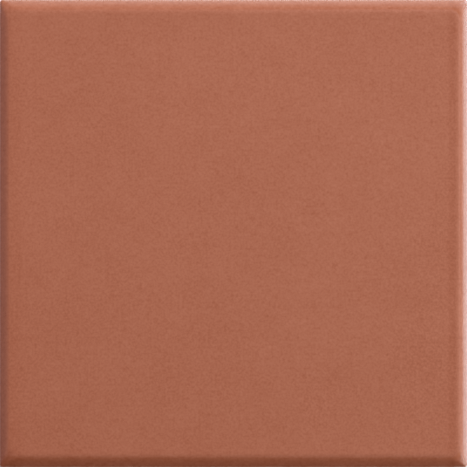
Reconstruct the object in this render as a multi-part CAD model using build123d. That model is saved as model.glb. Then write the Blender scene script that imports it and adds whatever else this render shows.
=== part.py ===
"""A square pressed and fired ceramic tile, modelled face up, in millimetres.

The origin is the centre of the back, on the plane of the ribs that the tile lies on. +Z goes
up through the thickness to the glazed face, +X to the face's right and +Y to its top.
"""

from build123d import *

import os

# Driving dimensions of the pressed outline.
SIDE = 100.0
THICKNESS = 8.0

# The cushioned edge: the face bends down to the side, slowly at first and then faster. The press
# gives the left and right edges a narrower cushion than the top and bottom ones, and both fall by
# the same drop.
CUSHION_WIDTH_X = 2.25
CUSHION_WIDTH_Y = 3.0
CUSHION_DROP = 1.1
CUSHION_STEPS = 8

# In plan the corners are crisp at the side and grow rounder as the cushion climbs to the face.
CORNER_RADIUS_SIDE = 0.5
CORNER_RADIUS_FACE = 2.6

# The side: an upright land where neighbouring tiles face each other across the joint, then a
# draft that narrows the tile towards its back and lets it leave the die.
LAND_HEIGHT = 3.0
DRAFT_INSET = 0.35
BACK_ARRIS = 0.4

# The back: a waffle of shallow square pockets between ribs, which keys the tile to its bed. The
# pockets' corners are cut off, because powder tears at the sharp corners of a punch.
POCKETS_PER_ROW = 8
POCKET_PITCH = 11.5
POCKET_MOUTH = 9.0
POCKET_DEPTH = 0.7
POCKET_DRAFT_DEG = 25.0
POCKET_CORNER_CUT = 0.9

# Levels of the side, worked out from the dimensions above.
LAND_TOP = THICKNESS - CUSHION_DROP
LAND_BOTTOM = LAND_TOP - LAND_HEIGHT


def outline(level, inset_x=0.0, inset_y=0.0, corner_radius=CORNER_RADIUS_SIDE):
    """The tile's plan outline at one level, moved inwards by the two insets."""
    return Pos(0, 0, level) * RectangleRounded(SIDE - 2 * inset_x, SIDE - 2 * inset_y, corner_radius)


def side_body():
    """The body under the cushion: broken arris, draft and upright land, in straight walls."""
    arris_inset = DRAFT_INSET + BACK_ARRIS
    back = outline(0, arris_inset, arris_inset)
    above_arris = outline(BACK_ARRIS, DRAFT_INSET, DRAFT_INSET)
    return loft([back, above_arris, outline(LAND_BOTTOM), outline(LAND_TOP)], ruled=True)


def cushion():
    """The cushioned edge and the face, lofted through rounded squares.

    Retreat is how far the edge has come in, as a share of its width. The climb follows a cubic
    that meets the side at its steepest and comes level with the face.
    """
    sections = []
    for step in range(CUSHION_STEPS + 1):
        retreat = step / CUSHION_STEPS
        climb = (3 * retreat - retreat**3) / 2
        radius = CORNER_RADIUS_SIDE + (CORNER_RADIUS_FACE - CORNER_RADIUS_SIDE) * retreat
        level = LAND_TOP + CUSHION_DROP * climb
        sections.append(outline(level, CUSHION_WIDTH_X * retreat, CUSHION_WIDTH_Y * retreat, radius))
    return loft(sections)


def back_pockets():
    """Every pocket of the waffle, each with drafted walls and its corners cut off."""
    square = Rectangle(POCKET_MOUTH, POCKET_MOUTH)
    mouth = chamfer(square.vertices(), POCKET_CORNER_CUT)
    pocket = extrude(mouth, POCKET_DEPTH, taper=POCKET_DRAFT_DEG)
    grid = GridLocations(POCKET_PITCH, POCKET_PITCH, POCKETS_PER_ROW, POCKETS_PER_ROW)
    return [place * pocket for place in grid]


def ceramic_tile():
    """The whole tile, one pressed and fired piece."""
    return side_body() + cushion() - back_pockets()


os.makedirs("parts", exist_ok=True)
tile = ceramic_tile()
export_step(tile, "parts/ceramic_tile.step")
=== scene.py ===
# %% [markdown]
# A square pressed tile lies face up on a pale floor. Its face wears a satin glaze the colour of
# terracotta, its edges bend down in soft cushions, and its sides and back are bare fired clay.
# The measured solid of the tile is loaded first. Everything below is laid over it in the same
# frame: X to the right of the face, Y to its top, Z up through its thickness, all in metres.

# %% Load the measured tile
import math

import bmesh
import bpy
import numpy as np
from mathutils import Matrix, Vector, noise


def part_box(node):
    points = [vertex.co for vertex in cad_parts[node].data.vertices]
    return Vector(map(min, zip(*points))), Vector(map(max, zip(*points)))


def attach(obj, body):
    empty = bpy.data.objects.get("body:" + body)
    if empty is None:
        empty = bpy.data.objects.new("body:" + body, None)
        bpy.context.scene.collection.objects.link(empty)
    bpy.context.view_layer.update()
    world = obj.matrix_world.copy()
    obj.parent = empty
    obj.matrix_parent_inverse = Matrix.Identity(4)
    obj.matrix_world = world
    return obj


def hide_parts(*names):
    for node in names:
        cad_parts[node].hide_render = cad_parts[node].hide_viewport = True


MM = 0.001
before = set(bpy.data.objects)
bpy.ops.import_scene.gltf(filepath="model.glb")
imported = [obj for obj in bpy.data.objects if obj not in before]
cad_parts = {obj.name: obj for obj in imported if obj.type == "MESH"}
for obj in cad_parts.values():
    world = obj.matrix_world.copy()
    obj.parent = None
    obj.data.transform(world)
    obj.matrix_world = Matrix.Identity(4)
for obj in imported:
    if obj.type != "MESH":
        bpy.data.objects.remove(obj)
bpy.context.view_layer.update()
high_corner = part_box("ceramic_tile")[1]
half_side = high_corner.x
thickness = high_corner.z
print("tile side", round(2 * half_side / MM, 3), "mm, thickness", round(thickness / MM, 3), "mm")

# %% [markdown]
# The tile is looked at from straight above and fills the picture from edge to edge. A short lens
# would have to come close, and the cushions, which fall away from it on all sides, would look
# narrower than they are. A long lens far away sees all four edges truly, as in a catalogue
# picture, and it still works as a real camera when the view is turned, which a parallel projection
# does not. The camera stands at the height from which the picture ends a hair inside the top of
# the side, so that its border shows the tile's edges and not the floor.

# %% Set the camera straight above the tile
CUSHION_DROP = 1.1 * MM
LENS = 150.0
SENSOR = 36.0
CROP = 0.04 * MM
NEAREST_SEEN = 0.01

land_top = thickness - CUSHION_DROP
half_view = math.atan(SENSOR / 2 / LENS)
camera_height = land_top + (half_side - CROP) / math.tan(half_view)

camera_data = bpy.data.cameras.new("overhead_camera")
camera_data.lens = LENS
camera_data.sensor_width = SENSOR
camera_data.clip_start = NEAREST_SEEN
camera = bpy.data.objects.new("overhead_camera", camera_data)
camera.location = (0, 0, camera_height)
bpy.context.scene.collection.objects.link(camera)
bpy.context.scene.camera = camera
bpy.context.scene.view_settings.view_transform = "Standard"
print("camera height", round(camera_height / MM), "mm")

# %% [markdown]
# The light is a studio that stands in for a window at the upper right and the room around it. A
# satin glaze shows its light twice: as its own colour, and as a soft mirror image. From straight
# above, a cushion mirrors what stands low beyond its own edge. So low boxes beyond the right and
# top edges draw the pale lines there, with much fainter ones above them, and nothing stands beyond
# the bottom edge, where the cushion stays dark. The lowest box on the right is wide enough to show
# in the corners too. Three colours of light are enough: the window's boxes are cool, those that
# stand for the room are warm, and the rest are nearly white. That keeps the pale lines from
# turning pink and the left cushion from turning grey. Each box is an area lamp, because a lamp
# with a size gives soft shading, and all are hidden from the camera. The window's brightest box,
# the key light, would wash the face out in the views that mirror it. So most of its light comes
# from a second box in the same place, the key fill, which lights but isn't mirrored.

# %% Make a soft box
def soft_box(name, azimuth, elevation, distance, width, height, watts, colour, mirrored=True):
    """An area lamp aimed at the tile. Azimuth 0 is at the tile's right and 90 beyond its top edge.

    A box that isn't mirrored lights the tile but shows in no reflection.
    """
    turn = math.radians(azimuth)
    climb = math.radians(elevation)
    lamp = bpy.data.lights.new(name, "AREA")
    lamp.shape = "RECTANGLE"
    lamp.size = width
    lamp.size_y = height
    lamp.energy = watts
    lamp.color = colour
    holder = bpy.data.objects.new(name, lamp)
    outward = Vector((
        math.cos(turn) * math.cos(climb),
        math.sin(turn) * math.cos(climb),
        math.sin(climb),
    ))
    holder.location = outward * distance
    holder.rotation_euler = outward.to_track_quat("Z", "Y").to_euler()
    holder.visible_camera = False
    holder.visible_glossy = mirrored
    bpy.context.scene.collection.objects.link(holder)
    print(name, "at", [round(value, 2) for value in holder.location], "m,", watts, "W")


# %% [markdown]
# Each line below places one box: its name, its azimuth and elevation in degrees, its distance,
# width and height in metres, its power in watts and its colour. A trace of light from everywhere
# stands for the walls of the studio and keeps the shadows from going black.

# %% Light the studio
WINDOW_LIGHT = (0.72, 0.89, 1.0)
PLAIN_LIGHT = (1.0, 0.98, 0.98)
ROOM_LIGHT = (1.0, 0.67, 0.62)
KEY_PLACE = (47, 29.7, 1.31)
KEY_SIZE = (0.91, 0.14)
AIR_COLOUR = (1, 1, 1, 1)
AIR_STRENGTH = 0.08

soft_box("key_light", *KEY_PLACE, *KEY_SIZE, 12.3, WINDOW_LIGHT)
soft_box("key_fill", *KEY_PLACE, *KEY_SIZE, 22.7, WINDOW_LIGHT, mirrored=False)
soft_box("right_strip", 0, 10.7, 1.3, 2.2, 0.3, 13.7, WINDOW_LIGHT)
soft_box("middle_right_strip", 0, 25, 1.0, 0.8, 0.15, 0.25, WINDOW_LIGHT)
soft_box("upper_right_strip", 0, 45, 1.0, 0.8, 0.2, 0.35, WINDOW_LIGHT)
soft_box("top_strip", 89, 21.6, 1.8, 0.69, 0.04, 3.47, PLAIN_LIGHT)
soft_box("upper_top_strip", 90, 33, 1.0, 0.8, 0.15, 0.17, PLAIN_LIGHT)
soft_box("lower_right_strip", -35, 34.6, 0.6, 0.31, 0.04, 0.62, PLAIN_LIGHT)
soft_box("upper_left_box", 150, 39.6, 0.6, 1.14, 0.95, 2.5, ROOM_LIGHT)
soft_box("overhead_box", -8, 87.5, 0.6, 0.67, 0.24, 0.32, ROOM_LIGHT)

studio = bpy.data.worlds.new("studio_air")
studio.use_nodes = True
air = studio.node_tree.nodes["Background"]
air.inputs["Color"].default_value = AIR_COLOUR
air.inputs["Strength"].default_value = AIR_STRENGTH
bpy.context.scene.world = studio

# %% [markdown]
# A press makes the tile in a steel die, so its shape is a stack of rounded squares: the flat face,
# the cushion around it, the upright land, a slight draft towards the back and a broken arris. It
# could be a cube with bevels, but a bevel has one width and one corner radius, and here the
# cushion is narrower on the left and right edges, and its corners grow rounder as it climbs. So
# each level is drawn as a loop of points, and neighbouring loops are joined by strips of faces.

# %% Draw a loop of points round a rounded rectangle
CELLS = 240
TINY = 1e-9


def round_the_corner(reach, width, share, radius):
    """A point on a side, as (distance outwards, distance along). Share runs from -1 to 1 along it.

    The ends of the side are bent round the corners, each as far as the corner's middle.
    """
    along = np.abs(share) * width
    past_straight = np.clip(along - (width - radius), 0, None)
    angle = past_straight / np.maximum(radius, TINY) * math.pi / 4
    outward = reach - radius * (1 - np.cos(angle))
    along = np.minimum(along, width - radius) + radius * np.sin(angle)
    return outward, np.copysign(along, share)


def rounded_loop(half_x, half_y, radius, cells=CELLS):
    """X and Y of a loop with equally many points on each side, anticlockwise from above."""
    share = np.linspace(-1, 1, cells + 1)[:-1]
    out_y, along_x = round_the_corner(half_y, half_x, share, radius)
    out_x, along_y = round_the_corner(half_x, half_y, share, radius)
    x = np.concatenate([along_x, out_x, -along_x, -out_x])
    y = np.concatenate([-out_y, along_y, out_y, -along_y])
    return x, y


print("points in a loop", len(rounded_loop(half_side, half_side, 0)[0]))

# %% [markdown]
# Points and faces are collected in plain lists and become a mesh at the end. Each point also says
# whether it is glazed, because the colour and the ripple of the surface will need to know.

# %% Collect points and faces
points = []
glaze_marks = []
faces = []


def add_points(x, y, z, glazed=0.0):
    """Adds points and returns their numbers."""
    first = len(points)
    points.extend(np.column_stack(np.broadcast_arrays(x, y, z)).tolist())
    glaze_marks.extend([glazed] * (len(points) - first))
    return np.arange(first, len(points))


def join_loops(inner, outer):
    """Joins two closed loops by a strip of faces that look away from the tile.

    Outer comes after inner on the way from the face, over the side, to the middle of the back.
    """
    strip = np.column_stack([inner, outer, np.roll(outer, -1), np.roll(inner, -1)])
    faces.extend(strip.tolist())


# %% [markdown]
# The face is a grid fine enough to carry the real ripple of the glaze. Near its border the grid's
# squares bend round the corners, so that the border meets the first loop of the cushion point for
# point. The bend fades out over the outer quarter of the face.

# %% Lay the face
CUSHION_WIDTH_X = 2.25 * MM
CUSHION_WIDTH_Y = 3.0 * MM
CORNER_RADIUS_FACE = 2.6 * MM
BEND_STARTS = 0.75

face_half_x = half_side - CUSHION_WIDTH_X
face_half_y = half_side - CUSHION_WIDTH_Y


def face_grid():
    """Lays the face as a grid of points and returns the loop of its border."""
    steps = np.linspace(-1, 1, CELLS + 1)
    across, up = np.meshgrid(steps, steps)
    ring = np.maximum(np.abs(across), np.abs(up))
    bend = np.clip((ring - BEND_STARTS) / (1 - BEND_STARTS), 0, 1)
    radius = CORNER_RADIUS_FACE * bend ** 2
    safe_ring = np.maximum(ring, TINY)
    reach_x = face_half_x * ring
    reach_y = face_half_y * ring
    out_x, along_y = round_the_corner(reach_x, reach_y, up / safe_ring, radius)
    out_y, along_x = round_the_corner(reach_y, reach_x, across / safe_ring, radius)
    on_left_or_right = np.abs(across) >= np.abs(up)
    x = np.where(on_left_or_right, np.copysign(out_x, across), along_x)
    y = np.where(on_left_or_right, along_y, np.copysign(out_y, up))
    numbers = add_points(x.ravel(), y.ravel(), thickness, glazed=1.0).reshape(x.shape)
    corners = [numbers[:-1, :-1], numbers[:-1, 1:], numbers[1:, 1:], numbers[1:, :-1]]
    faces.extend(np.stack(corners, axis=-1).reshape(-1, 4).tolist())
    return np.concatenate([numbers[0, :-1], numbers[:-1, -1], numbers[-1, :0:-1], numbers[:0:-1, 0]])


face_border = face_grid()
print("face", len(faces), "squares,", round(2 * face_half_x / CELLS / MM, 2), "mm wide")

# %% [markdown]
# The cushion is the curve that a finger feels at the edge of a pressed tile. It leaves the face
# level and steepens on its way out, and it still isn't upright where it meets the side, so that an
# edge remains there. A quarter of a circle would have no such edge. A cubic curve does: its slope
# is greatest at the side and falls away to nothing at the face. The melted glaze has rounded the
# edge a little, which a short bend shows: each of its points lies between the cushion's last
# straight piece and the top of the side, ever nearer to the side.

# %% Bend the cushion down to the side
CORNER_RADIUS_SIDE = 0.5 * MM
CUSHION_LOOPS = 12
EDGE_LOOPS = 4
EDGE_RETREAT = 0.035
EDGE_BELOW = 0.09 * MM


def cushion_climb(retreat):
    """How far the cushion has climbed where it has come in by this share of its width."""
    return (3 * retreat - retreat ** 3) / 2


def cushion_profile():
    """Pairs of (retreat, level) from the face outwards, down to the top of the side."""
    for retreat in np.linspace(1, EDGE_RETREAT, CUSHION_LOOPS)[1:]:
        yield retreat, land_top + CUSHION_DROP * cushion_climb(retreat)
    edge_start = CUSHION_DROP * cushion_climb(EDGE_RETREAT)
    for share in np.linspace(0, 1, EDGE_LOOPS)[1:]:
        level = edge_start * (1 - share) ** 2 - EDGE_BELOW * share ** 2
        yield EDGE_RETREAT * (1 - share) ** 2, land_top + level


def add_cushion(inner):
    """Adds the cushion outwards from the border of the face, and returns its last loop."""
    for retreat, level in cushion_profile():
        radius = CORNER_RADIUS_SIDE + (CORNER_RADIUS_FACE - CORNER_RADIUS_SIDE) * retreat
        half_x = half_side - CUSHION_WIDTH_X * retreat
        half_y = half_side - CUSHION_WIDTH_Y * retreat
        outer = add_points(*rounded_loop(half_x, half_y, radius), level, glazed=1.0)
        join_loops(inner, outer)
        inner = outer
    return inner


cushion_foot = add_cushion(face_border)
print("cushion and edge of", len(list(cushion_profile())), "loops, down to",
      round((land_top - EDGE_BELOW) / MM, 2), "mm")

# %% [markdown]
# Below the cushion the tile has an upright land, where two tiles meet across the joint. The glaze
# is flooded over the face and runs a little way down the land, where it ends in a rounded lip that
# wanders up and down. The lip could be painted, but its shadow is what tells glaze from paint, so
# it is real shape: the height of its loops follows a noise that is read at each point's own place
# round the tile, and so the line closes on itself. The clay below stands back by its thickness.

# %% Run the glaze down the land
GLAZE_LINE = 5.3 * MM
GLAZE_LIP = 0.14 * MM
LIP_BELLY = 0.3
RUNS = ((14.0 * MM, 0.8 * MM), (3.2 * MM, 0.3 * MM))
RUN_PLACE = Vector((3.7, 1.9, 8.2))


def glaze_runs(x, y):
    """How far the glaze's lower edge strays up or down at each place round the tile."""
    stray = np.zeros(len(x))
    for length, height in RUNS:
        spots = [Vector((spot_x, spot_y, 0)) / length + RUN_PLACE for spot_x, spot_y in zip(x, y)]
        stray += height * np.array([noise.noise(spot) for spot in spots])
    return stray


def add_glaze_lip(inner):
    """Adds the lower edge of the glaze under the cushion, and returns the loop at its foot."""
    stray = glaze_runs(*rounded_loop(half_side, half_side, CORNER_RADIUS_SIDE))
    for inset, below in ((0.0, 0.0), (LIP_BELLY * GLAZE_LIP, GLAZE_LIP), (GLAZE_LIP, GLAZE_LIP)):
        x, y = rounded_loop(half_side - inset, half_side - inset, CORNER_RADIUS_SIDE)
        on_glaze = 1.0 if inset < GLAZE_LIP else 0.0
        outer = add_points(x, y, GLAZE_LINE + stray - below, glazed=on_glaze)
        join_loops(inner, outer)
        inner = outer
    print("glaze edge between", round((GLAZE_LINE + stray.min()) / MM, 2), "and",
          round((GLAZE_LINE + stray.max()) / MM, 2), "mm above the floor")
    return inner


lip_foot = add_glaze_lip(cushion_foot)

# %% [markdown]
# Under the land the side draws in by a fraction of a millimetre, the draft that lets the tile
# leave the die, and a small broken arris leads to the back. Pressed corners are never quite sharp,
# so each corner of the profile is replaced by a short bend.

# %% Draw the profile of the side and add it
LAND_HEIGHT = 3.0 * MM
DRAFT_INSET = 0.35 * MM
BACK_ARRIS = 0.4 * MM
RIM_FLAT = 0.45 * MM
EDGE_SOFTNESS = 0.12 * MM
EDGE_POINTS = 3


def soften(corners, cut, count):
    """Replaces each inner corner of a profile by a short bend of this many points."""
    corners = [Vector(corner) for corner in corners]
    profile = [corners[0]]
    for before, corner, after in zip(corners, corners[1:], corners[2:]):
        start = corner + (before - corner).normalized() * cut
        end = corner + (after - corner).normalized() * cut
        for number in range(count):
            share = number / (count - 1)
            profile.append(start.lerp(corner, share).lerp(corner.lerp(end, share), share))
    return profile + [corners[-1]]


def add_side(inner):
    """Adds the bare side below the glaze and the first flat of the back's rim."""
    land_bottom = land_top - LAND_HEIGHT
    arris_inset = DRAFT_INSET + BACK_ARRIS
    corners = [(GLAZE_LIP, GLAZE_LINE), (GLAZE_LIP, land_bottom), (DRAFT_INSET, BACK_ARRIS)]
    corners += [(arris_inset, 0), (arris_inset + RIM_FLAT, 0)]
    for inset, level in soften(corners, EDGE_SOFTNESS, EDGE_POINTS)[1:]:
        half = half_side - inset
        outer = add_points(*rounded_loop(half, half, CORNER_RADIUS_SIDE), level)
        join_loops(inner, outer)
        inner = outer
    return inner


back_rim = add_side(lip_foot)
print("points so far", len(points))

# %% [markdown]
# The back is a waffle: square pockets between ribs. The ribs carry the tile, and the adhesive grips
# the pockets' drafted walls. It needs far fewer points than the face, so first a strip of
# triangles and squares steps down from three points to one. Then each pocket is a square cell of
# its own with loops that step down into it. All cells have as many points on their borders, and
# at the end the points that two cells share are welded into one.

# %% Press the waffle into the back
POCKETS_PER_ROW = 8
POCKET_PITCH = 11.5 * MM
POCKET_MOUTH = 9.0 * MM
POCKET_DEPTH = 0.7 * MM
POCKET_DRAFT = math.radians(25.0)
POCKET_CORNER_RADIUS = 1.55 * MM
POCKET_SOFTNESS = 0.15 * MM
POCKET_EDGE_POINTS = 2
STEP_DOWN = 3
RIM_MARGIN = 1.4 * MM

coarse_cells = CELLS // STEP_DOWN
pocket_cells = coarse_cells // POCKETS_PER_ROW
waffle_half = POCKETS_PER_ROW * POCKET_PITCH / 2


def step_down(fine, coarse):
    """Joins a fine loop to a coarser one inside it, three of its edges to each coarse edge."""
    fine_corners = [np.roll(fine, -number)[::STEP_DOWN] for number in range(STEP_DOWN + 1)]
    next_coarse = np.roll(coarse, -1)
    first, second, third, fourth = fine_corners
    faces.extend(np.column_stack([first, coarse, second]).tolist())
    faces.extend(np.column_stack([second, coarse, next_coarse, third]).tolist())
    faces.extend(np.column_stack([third, next_coarse, fourth]).tolist())


def add_pocket(middle_x, middle_y):
    """Adds one cell of the waffle: half of each rib around it, the pocket's walls and its floor."""
    half_mouth = POCKET_MOUTH / 2
    half_floor = half_mouth - POCKET_DEPTH * math.tan(POCKET_DRAFT)
    corners = [(POCKET_PITCH / 2, 0), (half_mouth, 0), (half_floor, POCKET_DEPTH)]
    corners.append((half_floor - POCKET_CORNER_RADIUS / 2, POCKET_DEPTH))
    inner = None
    for half, level in soften(corners, POCKET_SOFTNESS, POCKET_EDGE_POINTS):
        radius = POCKET_CORNER_RADIUS - (half_mouth - half) if inner is not None else 0.0
        x, y = rounded_loop(half, half, radius, pocket_cells)
        outer = add_points(x + middle_x, y + middle_y, level)
        if inner is not None:
            join_loops(inner, outer)
        inner = outer
    faces.append(inner[::-1].tolist())


step_half = waffle_half + RIM_MARGIN
step_loop = add_points(*rounded_loop(step_half, step_half, 0.0, coarse_cells), 0)
waffle_border = add_points(*rounded_loop(waffle_half, waffle_half, 0.0, coarse_cells), 0)
step_down(back_rim, step_loop)
join_loops(step_loop, waffle_border)
middles = (np.arange(POCKETS_PER_ROW) - (POCKETS_PER_ROW - 1) / 2) * POCKET_PITCH
for middle_y in middles:
    for middle_x in middles:
        add_pocket(middle_x, middle_y)
print("pockets", POCKETS_PER_ROW ** 2, "each of", pocket_cells * 4, "points a loop")

# %% [markdown]
# The loose strips become one closed skin when points at the same place are welded. A skin that is
# closed has two faces on every edge and holds a volume, and both are easy to count, so they are
# printed beside the volume of the measured solid.

# %% Weld the strips into one closed skin
WELD = 0.001 * MM


def volume_of(skin):
    """The volume that a closed skin holds, in cubic millimetres."""
    return skin.calc_volume(signed=True) / MM ** 3


def make_tile():
    """Turns the collected points and faces into the tile's mesh object."""
    mesh = bpy.data.meshes.new("glazed_tile")
    mesh.from_pydata(points, [], faces)
    mesh.attributes.new("glazed", "FLOAT", "POINT").data.foreach_set("value", glaze_marks)
    skin = bmesh.new()
    skin.from_mesh(mesh)
    bmesh.ops.remove_doubles(skin, verts=skin.verts, dist=WELD)
    open_edges = sum(not edge.is_manifold for edge in skin.edges)
    triangles = sum(len(face.verts) - 2 for face in skin.faces)
    solid = bmesh.new()
    solid.from_mesh(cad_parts["ceramic_tile"].data)
    print("open edges", open_edges, "triangles", triangles)
    print("volume", round(volume_of(skin)), "mm3, measured solid", round(volume_of(solid)), "mm3")
    solid.free()
    skin.to_mesh(mesh)
    skin.free()
    mesh.shade_smooth()
    made = bpy.data.objects.new("glazed_tile", mesh)
    bpy.context.scene.collection.objects.link(made)
    return made


tile = make_tile()

# %% [markdown]
# A satin glaze is never a flat mirror. It sets with a fine ripple like the skin of an orange, over
# slower waves, and it stands a hair thicker where it gathered at the top of the cushion. A bump in
# the material can fake this, but only real shape also shows in the outline and in the light that
# grazes the face, so all but the finest ripple is moved into the mesh. The heights are hundredths
# of a millimetre. The surface only ever sinks below its measured level, so the tile never grows,
# and the ripple dies out towards the edge, where the glaze is pulled thin.

# %% Let the glaze ripple
RIPPLES = ((1.1 * MM, 0.010 * MM), (4.0 * MM, 0.012 * MM), (16.0 * MM, 0.030 * MM))
RIPPLE_PLACE = Vector((5.1, 7.7, 2.3))
BEAD_HEIGHT = 0.012 * MM
BEAD_PLACE = 0.95
BEAD_WIDTH = 0.35
BEAD_ROUNDING = -4
CALM_EDGE = 4.0
HALF_GLAZED = 0.5
MICRON = 0.001 * MM


def read_numbers(items, name, width=1):
    """Reads one property of every item of a mesh as an array."""
    numbers = np.empty(len(items) * width)
    items.foreach_get(name, numbers)
    return numbers.reshape(-1, width) if width > 1 else numbers


def from_edge(places):
    """How far in each place is, in cushion widths: 0 at the outline and 1 at the face's border."""
    across = np.maximum(half_side - np.abs(places[:, 0]), TINY) / CUSHION_WIDTH_X
    up = np.maximum(half_side - np.abs(places[:, 1]), TINY) / CUSHION_WIDTH_Y
    return (across ** BEAD_ROUNDING + up ** BEAD_ROUNDING) ** (1 / BEAD_ROUNDING)


def ripple_height(places):
    """The height of the glaze's ripple at each place, in metres, with its highest point at 0."""
    height = np.zeros(len(places))
    for length, strength in RIPPLES:
        spots = [Vector(place) / length + RIPPLE_PLACE for place in places]
        height += strength * np.array([noise.noise(spot) for spot in spots])
    return height - height.max()


def ripple_the_glaze(piece):
    """Moves every glazed point along its normal, and never outwards."""
    mesh = piece.data
    places = read_numbers(mesh.vertices, "co", 3)
    normals = read_numbers(mesh.vertices, "normal", 3)
    glazed = read_numbers(mesh.attributes["glazed"].data, "value") > HALF_GLAZED
    inwards = from_edge(places[glazed])
    bead = BEAD_HEIGHT * np.exp(-((inwards - BEAD_PLACE) / BEAD_WIDTH) ** 2)
    height = ripple_height(places[glazed]) * np.clip(inwards / CALM_EDGE, 0, 1) + bead
    places[glazed] += normals[glazed] * np.minimum(height, 0)[:, None]
    mesh.vertices.foreach_set("co", places.ravel())
    mesh.update()
    print("ripple of", round(np.ptp(height) / MICRON, 1), "thousandths of a millimetre on",
          glazed.sum(), "points")


ripple_the_glaze(tile)

# %% [markdown]
# Smooth shading turns the light gently across every edge, also from a narrow bend into the wide
# flat beside it, and the flat then looks dented. Sharp edges round the flats would stop that, but
# a pressed and fired tile has none. A Weighted Normal modifier does it too: it lets the larger
# faces decide, and the flats stay flat.

# %% Keep the flats flat
weigh_normals = tile.modifiers.new("flats_stay_flat", "WEIGHTED_NORMAL")
weigh_normals.keep_sharp = True

# %% [markdown]
# Baked colours need a flat pattern of the skin, like the paper pattern of a box. Blender can cut
# one by itself, but it doesn't know that the face matters most. Here the face with its cushion
# rolled out takes most of the square, the back lies beside it, and the four sides lie above it as
# strips. Each corner of a face finds its place from its own position and from the middle of its
# face, which says on which part of the tile it is.

# %% Lay out the flat pattern
PATTERN_GAP = 0.008
FACE_SHARE = 0.62
STRIP_HEIGHT = 0.055


def lay_out_pattern(piece):
    """Gives every corner of every face its place on the flat pattern."""
    mesh = piece.data
    vertex = read_numbers(mesh.loops, "vertex_index").astype(int)
    corner = read_numbers(mesh.vertices, "co", 3)[vertex]
    corners_of_face = read_numbers(mesh.polygons, "loop_total").astype(int)
    face = np.repeat(np.arange(len(mesh.polygons)), corners_of_face)
    middle = read_numbers(mesh.polygons, "center", 3)[face]
    back_half = half_side - DRAFT_INSET - BACK_ARRIS
    on_face = middle[:, 2] > land_top
    on_back = ~on_face & (np.abs(middle[:, :2]).max(axis=1) < back_half)
    rolled_half = half_side + CUSHION_DROP
    rolled = corner[:, :2] * (1 + (thickness - corner[:, 2:]) / half_side)
    place = PATTERN_GAP + (rolled / rolled_half + 1) / 2 * FACE_SHARE
    back_share = 1 - FACE_SHARE - 3 * PATTERN_GAP
    back = (corner[:, :2] / back_half + 1) / 2 * back_share
    place[on_back] = back[on_back] + (FACE_SHARE + 2 * PATTERN_GAP, PATTERN_GAP)
    right_or_left = np.abs(middle[:, 0]) > np.abs(middle[:, 1])
    along = np.where(right_or_left, corner[:, 1], corner[:, 0])
    outward = np.where(right_or_left, np.abs(corner[:, 0]), np.abs(corner[:, 1]))
    down = (land_top - corner[:, 2] + half_side - outward) / (land_top + half_side - back_half)
    facing = np.where(right_or_left, middle[:, 0], middle[:, 1]) > 0
    strip = right_or_left * 2 + facing
    side = np.column_stack([(along / half_side + 1) / 2 * FACE_SHARE, down * STRIP_HEIGHT])
    side += np.column_stack([np.full(len(strip), PATTERN_GAP), strip * (STRIP_HEIGHT + PATTERN_GAP)])
    side[:, 1] += FACE_SHARE + 2 * PATTERN_GAP
    on_side = ~on_face & ~on_back
    place[on_side] = side[on_side]
    layer = mesh.uv_layers.new(name="OFBake")
    layer.uv.foreach_set("vector", place.ravel())
    print("pattern from", place.min(axis=0).round(3), "to", place.max(axis=0).round(3))


lay_out_pattern(tile)

# %% [markdown]
# A material is a network of small nodes, and its sums are easier to read as sums. The class below
# holds one output of a node. Adding or multiplying two of them adds the Math node that does it,
# and one method adds a node of any other kind. Colours never pass through Math nodes, which would
# turn them grey; they are mixed by Mix nodes. A Mix node has sockets for numbers, vectors and
# colours under the same names, so those for colours are picked by their numbers.

# %% Write shader maths as plain sums
MIX_FACTOR, MIX_A, MIX_B, MIX_RESULT = 0, 6, 7, 2
NOISE_MIDDLE = 0.5


class Wire:
    """One output of a shader node. Sums and products of wires add Math nodes to the material."""

    def __init__(self, tree, socket=None):
        self.tree = tree
        self.socket = socket

    def node(self, kind, settings, inputs, output=0):
        """Adds a node: its settings first, then the values or links of its sockets."""
        made = self.tree.nodes.new(kind)
        for name, value in settings.items():
            setattr(made, name, value)
        for name, value in inputs.items():
            if isinstance(value, Wire):
                self.tree.links.new(value.socket, made.inputs[name])
            else:
                made.inputs[name].default_value = value
        return Wire(self.tree, made.outputs[output])

    def math(self, operation, left, right):
        """Adds a Math node that works on two values or wires."""
        return self.node("ShaderNodeMath", {"operation": operation}, {0: left, 1: right})

    def __add__(self, other):
        return self.math("ADD", self, other)

    def __sub__(self, other):
        return self.math("SUBTRACT", self, other)

    def __rsub__(self, other):
        return self.math("SUBTRACT", other, self)

    def __mul__(self, other):
        return self.math("MULTIPLY", self, other)

    __radd__ = __add__
    __rmul__ = __mul__

    def axis(self, number):
        """One number of a place: 0 for x, 1 for y and 2 for z."""
        return self.node("ShaderNodeSeparateXYZ", {}, {0: self}, output=number)

    def unsigned(self):
        """The wire's number without its sign."""
        return self.node("ShaderNodeMath", {"operation": "ABSOLUTE"}, {0: self})

    def between(self, low, high):
        """0 at low, 1 at high, and a smooth change from one to the other. Low may be the larger."""
        settings = {"interpolation_type": "SMOOTHSTEP"}
        inputs = {"Value": self, "From Min": low, "From Max": high}
        return self.node("ShaderNodeMapRange", settings, inputs)

    def mix(self, first, second):
        """The first colour where this wire is 0, and the second laid over it where it is 1."""
        inputs = {MIX_FACTOR: self, MIX_A: first, MIX_B: second}
        return self.node("ShaderNodeMix", {"data_type": "RGBA"}, inputs, MIX_RESULT)

    def noise(self, size, detail=2.0, drift=(0.0, 0.0, 0.0)):
        """Cloudy noise around 0, with lumps of about this size in metres. The wire is the place."""
        moved = self.node("ShaderNodeVectorMath", {"operation": "ADD"}, {0: self, 1: drift})
        inputs = {"Vector": moved, "Scale": 1 / size, "Detail": detail}
        return self.node("ShaderNodeTexNoise", {}, inputs) - NOISE_MIDDLE


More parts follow.
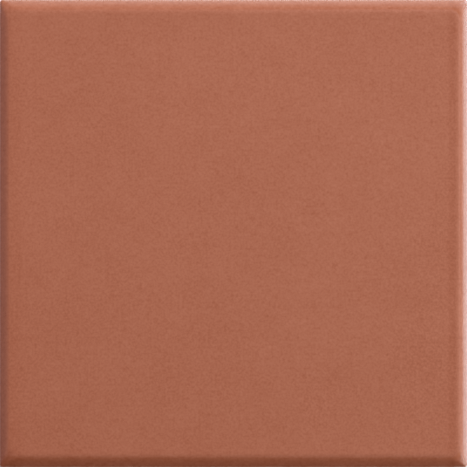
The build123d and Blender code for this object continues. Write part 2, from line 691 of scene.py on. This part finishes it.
def new_material(name):
    """A material with a plain shader. Returns it, its shader and a wire to start from."""
    material = bpy.data.materials.new(name)
    material.use_nodes = True
    return material, material.node_tree.nodes["Principled BSDF"], Wire(material.node_tree)


def feed(shader, name, wire):
    """Plugs a wire into one of the shader's sockets."""
    wire.tree.links.new(wire.socket, shader.inputs[name])


# %% [markdown]
# The tile needs one material, because glaze and clay were fired together and meet along the lip.
# The mark that each point carries says which of the two shows. The glaze is opaque and the colour
# of terracotta. Seen closely its tone is never even: a fine grain of crystals makes it satin, a few
# freckles and slow clouds lie over it, it is a shade darker in a band just inside the right and
# left cushions, and it breaks paler over the crisp edge, where it runs thin. The tone is one
# number, which picks a colour between a dark and a light one, and the break is laid over it.
# Nothing here is a picture: each pattern is a noise or a band with a size in millimetres. Each
# noise is read at a place of its own, so that no two patterns repeat each other.

# %% Mix the colour of the glaze
GLAZE_DARK = (0.249, 0.0574, 0.0188, 1)
GLAZE_LIGHT = (0.336, 0.1045, 0.0518, 1)
THIN_GLAZE = (0.50, 0.19, 0.115, 1)
MIDDLE_TONE = 0.5
GRAIN = ((0.5 * MM, 1.25), (1.1 * MM, 0.52), (2.6 * MM, 0.17), (6.0 * MM, 0.24), (24.0 * MM, 0.2))
GRAIN_PLACE = (0.3, 0.2)
GRAIN_SHIFT = 0.1
FRECKLE_SIZE = 1.6 * MM
FRECKLE_PLACE = (0.8, 0.5, 0.4)
FRECKLE_EDGE = (0.17, 0.27)
FRECKLE_DEPTH = 0.12
RIGHT_BAND = ((2.2 * MM, 3.0 * MM), (3.7 * MM, 4.4 * MM), 0.2)
LEFT_BAND = ((1.9 * MM, 2.5 * MM), (3.0 * MM, 5.9 * MM), 0.13)
BREAK_HEIGHT = 0.12 * MM
BREAK_DEPTH = 0.3


def darker_band(inwards, rise, fall, depth):
    """How much darker the glaze is at a distance in from an edge.

    The band grows over the stretch called rise and fades over the one called fall.
    """
    return inwards.between(*rise) * (1 - inwards.between(*fall)) * depth


def glaze_tone(place):
    """How light the glaze is at each place, from 0 to 1."""
    tone = MIDDLE_TONE
    for number, (size, strength) in enumerate(GRAIN):
        drift = (GRAIN_SHIFT * number, *GRAIN_PLACE)
        tone = tone + place.noise(size, detail=1.0, drift=drift) * strength
    freckles = place.noise(FRECKLE_SIZE, detail=0.0, drift=FRECKLE_PLACE).between(*FRECKLE_EDGE)
    across = place.axis(0)
    right_band = darker_band(half_side - across, *RIGHT_BAND)
    left_band = darker_band(half_side + across, *LEFT_BAND)
    return tone - freckles * FRECKLE_DEPTH - (right_band + left_band)


def glaze_colour(place):
    """The colour of the glaze: its tone, and a paler break where it thins over the edge."""
    off_edge = (place.axis(2) - land_top).unsigned()
    breaks = (1 - off_edge.between(0.0, BREAK_HEIGHT)) * BREAK_DEPTH
    return breaks.mix(glaze_tone(place).mix(GLAZE_DARK, GLAZE_LIGHT), THIN_GLAZE)


# %% [markdown]
# The clay is dry and pale, with grains of crushed fired clay in it and a few dark specks of iron.
# The white wash of the kiln shelf has rubbed off on the ribs that stood on it. Fine grains and slow
# patches are two noises, and their sum makes the clay paler or darker. A third noise shows only at
# its peaks, as specks. The wash is laid over what is lower than a tenth of a millimetre, which is
# just the back's rim and ribs.

# %% Mix the colour of the clay
CLAY_COLOUR = (0.60, 0.42, 0.29, 1)
CLAY_PALE = (0.72, 0.56, 0.43, 1)
CLAY_DARK = (0.45, 0.27, 0.165, 1)
IRON_COLOUR = (0.12, 0.06, 0.035, 1)
KILN_WASH = (0.80, 0.76, 0.69, 1)
GROG_SIZE = 0.5 * MM
GROG_PLACE = (0.7, 0.2, 0.5)
PATCH_SIZE = 14 * MM
PATCH_PLACE = (0.1, 0.6, 0.4)
CLAY_SPREAD = 0.3
IRON_SIZE = 0.9 * MM
IRON_PLACE = (0.9, 0.4, 0.8)
IRON_EDGE = (0.22, 0.26)
RIB_LEVELS = (0.02 * MM, 0.10 * MM)
WASH_EDGE = (-0.12, 0.15)
WASH_STRENGTH = 0.5


def clay_colour(place):
    """The colour of the bare clay, with kiln wash on the ribs of the back."""
    grog = place.noise(GROG_SIZE, detail=2.0, drift=GROG_PLACE)
    patches = place.noise(PATCH_SIZE, detail=3.0, drift=PATCH_PLACE)
    iron = place.noise(IRON_SIZE, detail=1.0, drift=IRON_PLACE).between(*IRON_EDGE)
    pale = (grog + patches).between(0.0, CLAY_SPREAD)
    warm = (grog + patches).between(0.0, -CLAY_SPREAD)
    clay = iron.mix(warm.mix(pale.mix(CLAY_COLOUR, CLAY_PALE), CLAY_DARK), IRON_COLOUR)
    on_ribs = 1 - place.axis(2).between(*RIB_LEVELS)
    rubbed = (patches + grog).between(*WASH_EDGE)
    return (on_ribs * rubbed * WASH_STRENGTH).mix(clay, KILN_WASH)


# %% [markdown]
# Where the glaze is sprayed on, fine drops land on the clay just below its edge. They could be
# modelled one by one, but they are too small and flat to show as shape. So they are the peaks of a
# noise, which is raised towards the glaze, so that they thin out downwards. They look and shine
# like the glaze, so they will be added to the mark of what is glazed.

# %% Spray fine drops under the glaze
SPRAY_REACH = 1.6 * MM
SPRAY_SIZE = 0.32 * MM
SPRAY_PLACE = (0.4, 0.9, 0.1)
SPRAY_THINNING = 0.2
SPRAY_EDGE = (0.21, 0.25)
SPRAY_END = (0.0, 0.3)


def spray_drops(place):
    """1 on the drops of glaze that the spray left on the clay, thinning out downwards."""
    reach = (place.axis(2) - (GLAZE_LINE - SPRAY_REACH)) * (1 / SPRAY_REACH)
    speckle = place.noise(SPRAY_SIZE, detail=1.0, drift=SPRAY_PLACE) + reach * SPRAY_THINNING
    return speckle.between(*SPRAY_EDGE) * reach.between(*SPRAY_END)


# %% [markdown]
# Roughness tells the two apart as much as colour does: the glaze is satin, and the clay hardly
# shines at all. The glaze is smoother on the cushions, where it runs thin, than on the level face,
# where a rougher satin keeps mirrored lamps from hiding the colour. The change comes within the
# first hair of the cushion's fall. The refractive index is above window glass's, which gives the
# pale lines at the edges their strength, and it is set for the whole material. The finest relief
# is left to a bump, because it is smaller than the squares of the mesh: a faint skin on the glaze,
# and the sandy grain of the pressed powder on the clay.

# %% Put glaze and clay together
GLAZE_ROUGHNESS = 0.28
FACE_ROUGHNESS = 0.5
FACE_STARTS = (0.16 * MM, 0.05 * MM)
GLAZE_IOR = 1.68
CLAY_ROUGHNESS = 0.88
SKIN_SIZE = 0.5 * MM
SKIN_PLACE = (0.2, 0.8, 0.1)
SKIN_RELIEF = 0.003
SAND_SIZE = 0.25 * MM
SAND_PLACE = (0.6, 0.3, 0.9)
SAND_RELIEF = 0.06


def glaze_and_clay():
    """The one material of the tile."""
    material, shader, wire = new_material("satin_glaze_on_fired_clay")
    place = wire.node("ShaderNodeTexCoord", {}, {}, output="Object")
    mark = wire.node("ShaderNodeAttribute", {"attribute_name": "glazed"}, {}, output="Fac")
    glazed = mark.math("MAXIMUM", mark, spray_drops(place))
    feed(shader, "Base Color", glazed.mix(clay_colour(place), glaze_colour(place)))
    on_face = (thickness - place.axis(2)).between(*FACE_STARTS)
    satin = GLAZE_ROUGHNESS + on_face * (FACE_ROUGHNESS - GLAZE_ROUGHNESS)
    feed(shader, "Roughness", glazed * satin + (1 - glazed) * CLAY_ROUGHNESS)
    shader.inputs["IOR"].default_value = GLAZE_IOR
    skin = place.noise(SKIN_SIZE, detail=2.0, drift=SKIN_PLACE) * SKIN_RELIEF
    sand = place.noise(SAND_SIZE, detail=3.0, drift=SAND_PLACE) * SAND_RELIEF
    relief = {"Height": skin * glazed + sand * (1 - glazed), "Distance": MM}
    feed(shader, "Normal", wire.node("ShaderNodeBump", {}, relief))
    print("nodes in", material.name, len(material.node_tree.nodes))
    return material


tile.data.materials.append(glaze_and_clay())

# %% [markdown]
# The floor is a plain pale sheet, so large that even in low views its edge stays well away from
# the tile. It is part of the studio and not of the tile.

# %% Lay the floor
FLOOR_SIZE = 4.0
FLOOR_COLOUR = (0.74, 0.73, 0.71, 1)
FLOOR_PALER = (0.77, 0.765, 0.75, 1)
FLOOR_CLOUD_SIZE = 0.3
FLOOR_ROUGHNESS = 0.7


def lay_floor():
    """A pale matt floor at the level that the tile lies on."""
    half = FLOOR_SIZE / 2
    mesh = bpy.data.meshes.new("studio_floor")
    corners = [(-half, -half, 0), (half, -half, 0), (half, half, 0), (-half, half, 0)]
    mesh.from_pydata(corners, [], [(0, 1, 2, 3)])
    floor = bpy.data.objects.new("studio_floor", mesh)
    bpy.context.scene.collection.objects.link(floor)
    material, shader, wire = new_material("pale_floor")
    place = wire.node("ShaderNodeTexCoord", {}, {}, output="Object")
    clouds = place.noise(FLOOR_CLOUD_SIZE).between(-NOISE_MIDDLE, NOISE_MIDDLE)
    feed(shader, "Base Color", clouds.mix(FLOOR_COLOUR, FLOOR_PALER))
    shader.inputs["Roughness"].default_value = FLOOR_ROUGHNESS
    mesh.materials.append(material)
    return floor


floor = lay_floor()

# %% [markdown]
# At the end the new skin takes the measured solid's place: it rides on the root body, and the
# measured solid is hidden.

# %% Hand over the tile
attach(tile, "root")
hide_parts("ceramic_tile")
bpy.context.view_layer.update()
